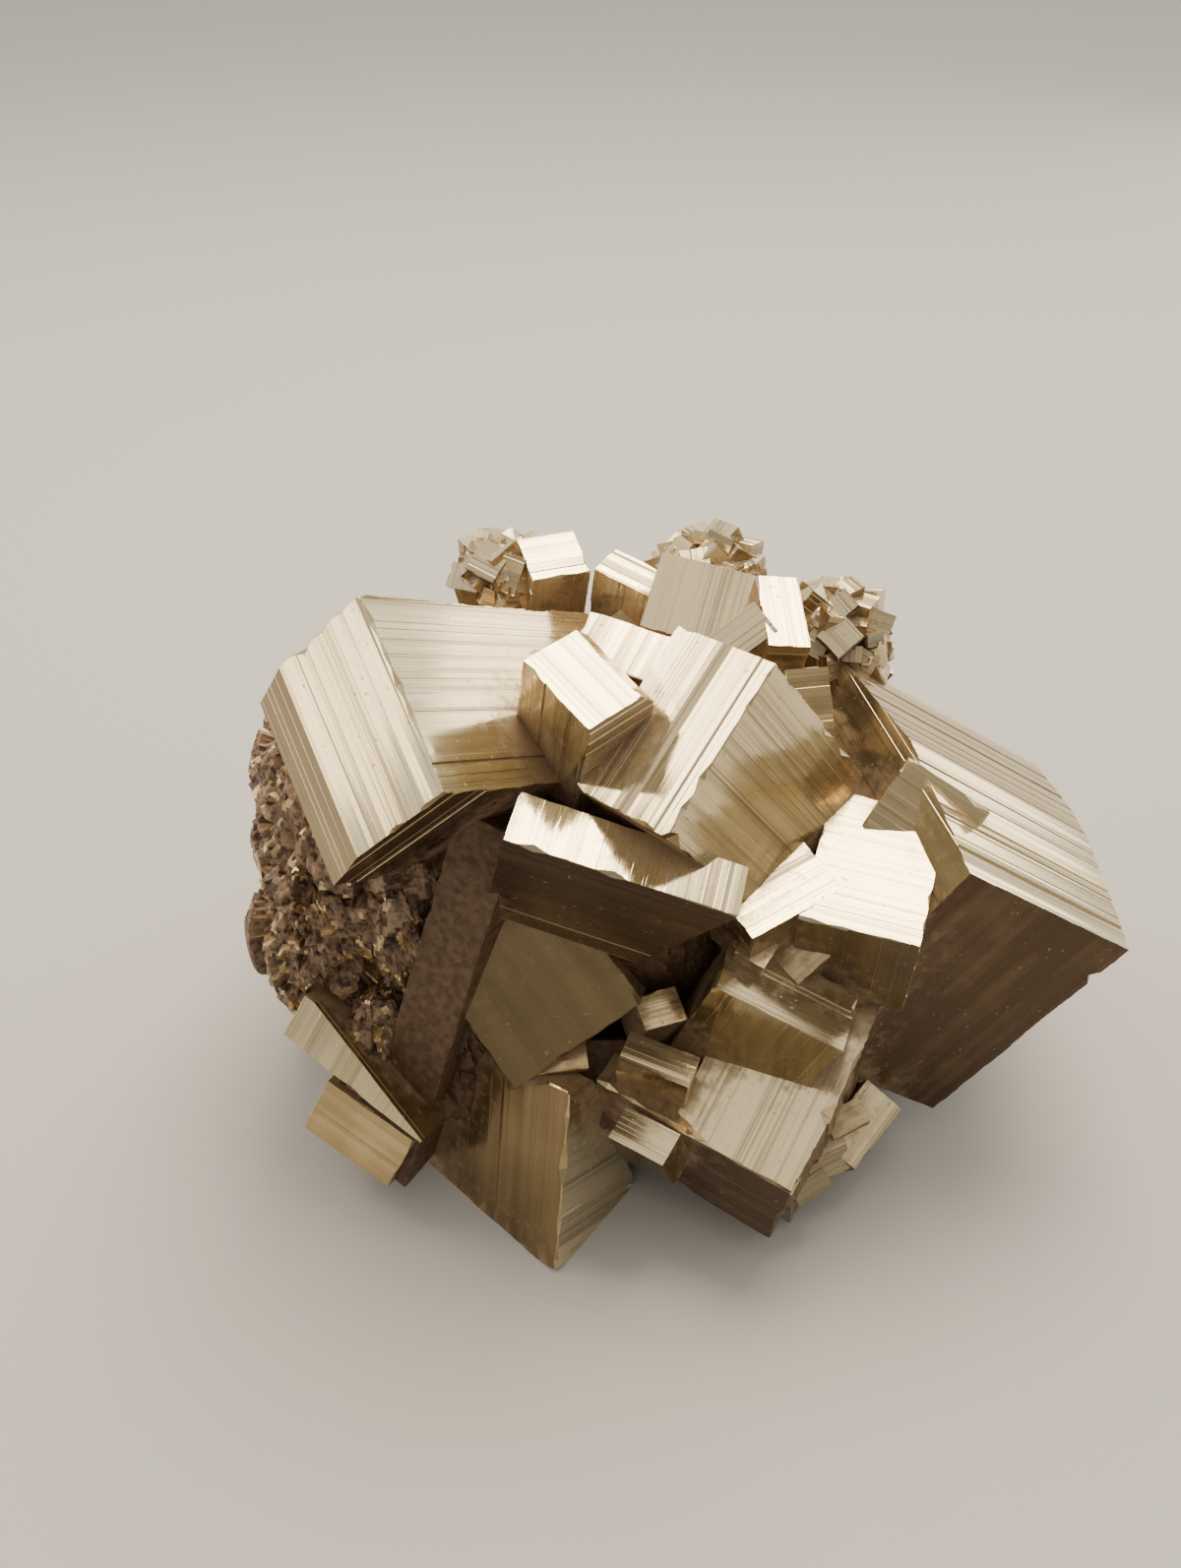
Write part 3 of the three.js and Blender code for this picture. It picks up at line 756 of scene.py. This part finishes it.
def pyrite_crystal_face():
    """Nearly a mirror: pale brass with grey lines in groups, golden, then brown, where film and painted shade
    lie.
    """
    material, tree, shader = new_material("pyrite_crystal_face")
    stripe = add_node(tree, "ShaderNodeUVMap", uv_map="stripe").outputs["UV"]
    facet = add_node(tree, "ShaderNodeAttribute", attribute_name="facet").outputs["Fac"]
    film_and_shade = add_node(tree, "ShaderNodeAttribute", attribute_name="film_and_shade").outputs["Fac"]
    number = add_node(tree, "ShaderNodeMath", {0: facet, 1: 90.0}, operation="MULTIPLY").outputs[0]
    apart = add_node(tree, "ShaderNodeCombineXYZ", {"Z": number}).outputs[0]
    place = add_node(tree, "ShaderNodeVectorMath", {0: stripe, 1: apart}, operation="ADD").outputs[0]
    noise = []
    for per_mm in (BAND_PER_MM, GROUP_PER_MM, LINE_PER_MM):
        spot = add_node(tree, "ShaderNodeVectorMath", {0: place, 1: per_mm}, operation="MULTIPLY").outputs[0]
        drawn = add_node(tree, "ShaderNodeTexNoise", {"Vector": spot, "Scale": 1.0, "Detail": 1.0})
        noise.append(drawn.outputs["Fac"])
    bands, groups, lines = noise
    crowd = add_node(tree, "ShaderNodeMapRange", {0: bands, 1: 0.42, 2: 0.6, 3: 0.1, 4: 1.0}).outputs[0]
    group = add_node(tree, "ShaderNodeMapRange", {0: groups, 1: 0.54, 2: 0.6, 3: 0.0, 4: 0.7}).outputs[0]
    line = add_node(tree, "ShaderNodeMapRange", {0: lines, 1: 0.55, 2: 0.66, 3: 0.0, 4: 0.9}).outputs[0]
    either = add_node(tree, "ShaderNodeMath", {0: group, 1: line}, operation="MAXIMUM").outputs[0]
    grey = add_node(tree, "ShaderNodeMath", {0: either, 1: crowd}, operation="MULTIPLY").outputs[0]
    brass = add_node(tree, "ShaderNodeMix", {0: grey, 6: linear(CLEAN_BRASS), 7: linear(GREY_BRASS)},
                     data_type="RGBA").outputs[2]
    spot = add_node(tree, "ShaderNodeTexCoord").outputs["Object"]
    blotch = add_node(tree, "ShaderNodeTexNoise", {"Vector": spot, "Scale": 1 / (BLOTCH_MM * MM),
                                                   "Detail": 3.0}).outputs["Fac"]
    uneven = add_node(tree, "ShaderNodeMath", {0: blotch, 1: bands}, operation="ADD").outputs[0]
    drift = add_node(tree, "ShaderNodeMapRange", {0: uneven, 1: 0.7, 2: 1.3, 3: -0.09, 4: 0.09}).outputs[0]
    # The brown mix carries film and painted shade from the face attribute.
    layer = add_node(tree, "ShaderNodeMath", {0: film_and_shade, 1: drift}, operation="ADD").outputs[0]
    thin_film_and_shade = add_node(tree, "ShaderNodeMapRange", {0: layer, 1: 0.0, 2: 0.5}).outputs[0]
    thick_film_and_shade = add_node(tree, "ShaderNodeMapRange", {0: layer, 1: 0.4, 2: 1.0}).outputs[0]
    golden_and_shaded = add_node(tree, "ShaderNodeMix", {0: thin_film_and_shade, 6: brass, 7: linear(GOLDEN_FILM_AND_SHADE)},
                      data_type="RGBA").outputs[2]
    brown_and_shaded = add_node(tree, "ShaderNodeMix", {0: thick_film_and_shade, 6: golden_and_shaded, 7: linear(BROWN_FILM_AND_SHADE)},
                      data_type="RGBA").outputs[2]
    # Dust lies where little of the sky is open.
    open_sky = add_node(tree, "ShaderNodeAmbientOcclusion", {"Distance": CREVICE_MM * MM},
                        samples=4).outputs["AO"]
    patch = add_node(tree, "ShaderNodeTexNoise", {"Vector": spot, "Scale": 1 / (DUST_PATCH_MM * MM),
                                                  "Detail": 4.0}).outputs["Fac"]
    reach = add_node(tree, "ShaderNodeMath", {0: open_sky, 1: patch}, operation="ADD").outputs[0]
    dust = add_node(tree, "ShaderNodeMapRange", {0: reach, 1: 0.85, 2: 1.25, 3: 0.9, 4: 0.0}).outputs[0]
    crumbs = add_node(tree, "ShaderNodeTexNoise", {"Vector": spot, "Scale": 1 / (SPECK_MM * MM),
                                                   "Detail": 0.0}).outputs["Fac"]
    specks = add_node(tree, "ShaderNodeMapRange", {0: crumbs, 1: 0.79, 2: 0.83, 3: 0.0, 4: 0.5}).outputs[0]
    loose = add_node(tree, "ShaderNodeMath", {0: dust, 1: specks}, operation="MAXIMUM").outputs[0]
    colour = add_node(tree, "ShaderNodeMix", {0: loose, 6: brown_and_shaded, 7: linear(DUST)},
                      data_type="RGBA").outputs[2]
    tree.links.new(colour, shader.inputs["Base Color"])
    bare = add_node(tree, "ShaderNodeMapRange", {0: thick_film_and_shade, 3: 0.92, 4: 0.7}).outputs[0]
    metal = add_node(tree, "ShaderNodeMath", {0: loose, 1: -0.8, 2: bare}, operation="MULTIPLY_ADD",
                     use_clamp=True).outputs[0]
    tree.links.new(metal, shader.inputs["Metallic"])
    cover = add_node(tree, "ShaderNodeMath", {0: thick_film_and_shade, 1: 0.4, 2: loose}, operation="MULTIPLY_ADD",
                     use_clamp=True).outputs[0]
    sheen = add_node(tree, "ShaderNodeMapRange", {0: groups, 1: 0.35, 2: 0.65, 3: 0.08, 4: 0.18}).outputs[0]
    blur = add_node(tree, "ShaderNodeMath", {0: cover, 1: 0.4, 2: sheen}, operation="MULTIPLY_ADD").outputs[0]
    tree.links.new(blur, shader.inputs["Roughness"])
    relief = add_node(tree, "ShaderNodeMapRange", {0: thick_film_and_shade, 3: 0.15, 4: 0.04}).outputs[0]
    bump = add_node(tree, "ShaderNodeBump", {"Strength": relief, "Distance": LINE_MM * MM,
                                           "Height": lines}).outputs[0]
    tree.links.new(bump, shader.inputs["Normal"])
    return material


crystal_finish = pyrite_crystal_face()
print("finish:", crystal_finish.name, "nodes:", len(crystal_finish.node_tree.nodes))

# %% [markdown]
# ## Granular pyrite
# Where the stone was broken, the grains have weathered to a dull brown. About one in six still shows
# a clean plane, which glints like the crystals. The shade follows the grains of the mesh, through
# their facet number, and finer crumbs come from noise.

# %% Granular pyrite
CRUMB_MM = 0.65
CRUMB_DEPTH_MM = 0.2
GRAIN_PALE = "#cbb48c"
GRAIN_BROWN = "#9c826a"
GRAIN_DARK = "#43342a"


def granular_pyrite():
    """Dull brown grains; few break on a clean plane that still glints."""
    material, tree, shader = new_material("granular_pyrite")
    facet = add_node(tree, "ShaderNodeAttribute", attribute_name="facet").outputs["Fac"]
    place = add_node(tree, "ShaderNodeTexCoord").outputs["Object"]
    crumbs = add_node(tree, "ShaderNodeTexNoise", {"Vector": place, "Scale": 1 / (CRUMB_MM * MM),
                                                   "Detail": 5.0}).outputs["Fac"]
    mixed = add_node(tree, "ShaderNodeMath", {0: facet, 1: 0.45, 2: crumbs},
                     operation="MULTIPLY_ADD").outputs[0]
    shade = add_node(tree, "ShaderNodeMapRange", {0: mixed, 1: 0.45, 2: 0.85}).outputs[0]
    brown = add_node(tree, "ShaderNodeMix", {0: shade, 6: linear(GRAIN_DARK), 7: linear(GRAIN_BROWN)},
                     data_type="RGBA").outputs[2]
    glint = add_node(tree, "ShaderNodeMapRange", {0: facet, 1: 0.82, 2: 0.86}).outputs[0]
    colour = add_node(tree, "ShaderNodeMix", {0: glint, 6: brown, 7: linear(GRAIN_PALE)},
                      data_type="RGBA").outputs[2]
    tree.links.new(colour, shader.inputs["Base Color"])
    metal = add_node(tree, "ShaderNodeMapRange", {0: glint, 3: 0.25, 4: 0.9}).outputs[0]
    tree.links.new(metal, shader.inputs["Metallic"])
    blur = add_node(tree, "ShaderNodeMapRange", {0: glint, 3: 0.55, 4: 0.3}).outputs[0]
    tree.links.new(blur, shader.inputs["Roughness"])
    bump = add_node(tree, "ShaderNodeBump", {"Strength": 0.6, "Distance": CRUMB_DEPTH_MM * MM,
                                             "Height": crumbs}).outputs[0]
    tree.links.new(bump, shader.inputs["Normal"])
    return material


granular_finish = granular_pyrite()
print("finish:", granular_finish.name, "nodes:", len(granular_finish.node_tree.nodes))

# %% [markdown]
# ## Brown crust
# Between the crystals lies a thin crust of weathered pyrite, mostly iron oxide. It is matt and brown,
# with soft darker patches and a little of the metal's shine left.

# %% Brown crust
CRUST_PATCH_MM = 0.8
CRUST_DEPTH_MM = 0.2
CRUST_BROWN = "#6c543e"
CRUST_DARK = "#513d2c"


def brown_crust():
    """The matt crust between the crystals: brown with darker patches."""
    material, tree, shader = new_material("brown_crust")
    place = add_node(tree, "ShaderNodeTexCoord").outputs["Object"]
    patches = add_node(tree, "ShaderNodeTexNoise", {"Vector": place, "Scale": 1 / (CRUST_PATCH_MM * MM),
                                                    "Detail": 6.0}).outputs["Fac"]
    shade = add_node(tree, "ShaderNodeMapRange", {0: patches, 1: 0.35, 2: 0.65}).outputs[0]
    colour = add_node(tree, "ShaderNodeMix", {0: shade, 6: linear(CRUST_DARK), 7: linear(CRUST_BROWN)},
                      data_type="RGBA").outputs[2]
    tree.links.new(colour, shader.inputs["Base Color"])
    shader.inputs["Metallic"].default_value = 0.2
    blur = add_node(tree, "ShaderNodeMapRange", {0: patches, 1: 0.3, 2: 0.7, 3: 0.7, 4: 0.5}).outputs[0]
    tree.links.new(blur, shader.inputs["Roughness"])
    bump = add_node(tree, "ShaderNodeBump", {"Strength": 0.5, "Distance": CRUST_DEPTH_MM * MM,
                                             "Height": patches}).outputs[0]
    tree.links.new(bump, shader.inputs["Normal"])
    return material


crust_finish = brown_crust()
print("finish:", crust_finish.name, "nodes:", len(crust_finish.node_tree.nodes))

# %% [markdown]
# ## Finishes on their faces
# Each face noted what it is made of, as a number from 0 to 2. The finishes stand in that order, and
# the faces stay flat, since a crystal's planes have hard edges.

# %% Finishes on their faces
result.materials.clear()
for finish in (crystal_finish, granular_finish, crust_finish):
    result.materials.append(finish)
result.polygons.foreach_set("material_index", np.rint(face_values(result, "grain")).astype(np.int32))
result.polygons.foreach_set("use_smooth", np.zeros(len(result.polygons), bool))
print("faces of each finish:", np.bincount(np.rint(face_values(result, "grain")).astype(int)).tolist())

# %% [markdown]
# ## Panels
# Metal shows what stands around it, so the lights are large soft panels: one overhead and a little
# behind, which the upward faces mirror, and weaker ones to the sides.

# %% Panels
PANEL_LIGHT = "#ffebcc"


def soft_panel(name, place_mm, size_mm, watts, target_mm=(0, 0, 25)):
    data = bpy.data.lights.new(name, "AREA")
    data.shape = "RECTANGLE"
    data.size, data.size_y = (value * MM for value in size_mm)
    data.energy = watts
    data.color = linear(PANEL_LIGHT)[:3]
    panel = bpy.data.objects.new(name, data)
    panel.location = [value * MM for value in place_mm]
    aim = Vector(target_mm) - Vector(place_mm)
    panel.rotation_euler = aim.to_track_quat("-Z", "Y").to_euler()
    bpy.context.scene.collection.objects.link(panel)


soft_panel("overhead_panel", (60, 160, 420), (260, 220), 2.4)
soft_panel("left_back_panel", (-330, 170, 330), (160, 200), 0.7)
soft_panel("left_panel", (-420, -30, 70), (130, 130), 0.2)
soft_panel("right_back_panel", (340, 330, 110), (220, 130), 0.32)
print("panels:", [light.name for light in bpy.data.lights])

# %% [markdown]
# ## Room
# Around the panels, the room is dim, with a few broad glows where its walls would be lit. Without them
# the faces that miss the panels would mirror nothing. A glow grows smoothly with the cosine between a
# direction and the glow's own.

# %% Room
ROOM_STRENGTH = 0.36
COOL_LIGHT = "#f6f4ef"
WARM_LIGHT = "#fff2de"
world = bpy.data.worlds.new("studio")
world.use_nodes = True
sky = world.node_tree
direction = add_node(sky, "ShaderNodeTexCoord").outputs["Generated"]
# Soft glows of the room: where each one lies, the cosine where it begins and its strength.
GLOWS = [
    ((0.15, 0.40, 0.90), 0.2, 0.8),
    ((-0.97, -0.10, 0.20), 0.6, 0.6),
    ((0.75, 0.65, 0.15), 0.6, 0.6),
    ((0.0, 1.0, 0.0), 0.3, 0.4),
]
strength = ROOM_STRENGTH
for toward, begin, most in GLOWS:
    cosine = add_node(sky, "ShaderNodeVectorMath", {0: direction, 1: toward},
                      operation="DOT_PRODUCT").outputs["Value"]
    glow = add_node(sky, "ShaderNodeMapRange", {0: cosine, 1: begin, 2: 1.0, 3: 0.0, 4: most},
                    interpolation_type="SMOOTHSTEP").outputs[0]
    strength = add_node(sky, "ShaderNodeMath", {0: strength, 1: glow}, operation="ADD").outputs[0]
up = add_node(sky, "ShaderNodeSeparateXYZ", {0: direction}).outputs["Z"]
height = add_node(sky, "ShaderNodeMapRange", {0: up, 1: 0.0, 2: 0.8}).outputs[0]
tint = add_node(sky, "ShaderNodeMix", {0: height, 6: linear(COOL_LIGHT), 7: linear(WARM_LIGHT)},
                data_type="RGBA").outputs[2]
sky.links.new(tint, sky.nodes["Background"].inputs["Color"])
sky.links.new(strength, sky.nodes["Background"].inputs["Strength"])
bpy.context.scene.world = world
print("glows:", len(GLOWS))

# %% [markdown]
# ## Floor
# A plain pale floor, matt like painted board, shows the stone's shadow and gives its underside light.

# %% Floor
FLOOR_MM = 3000
FLOOR_PALE = "#c0c1c1"
floor_corners = [(x, y, 0) for x, y in SQUARE]
floor = make_object("floor", np.array(floor_corners) * (FLOOR_MM * MM), [(0, 1, 2, 3)])
floor_paint, _, floor_shader = new_material("pale_floor")
floor_shader.inputs["Base Color"].default_value = linear(FLOOR_PALE)
floor_shader.inputs["Roughness"].default_value = 0.7
floor.data.materials.append(floor_paint)
print("floor, mm:", 2 * FLOOR_MM)
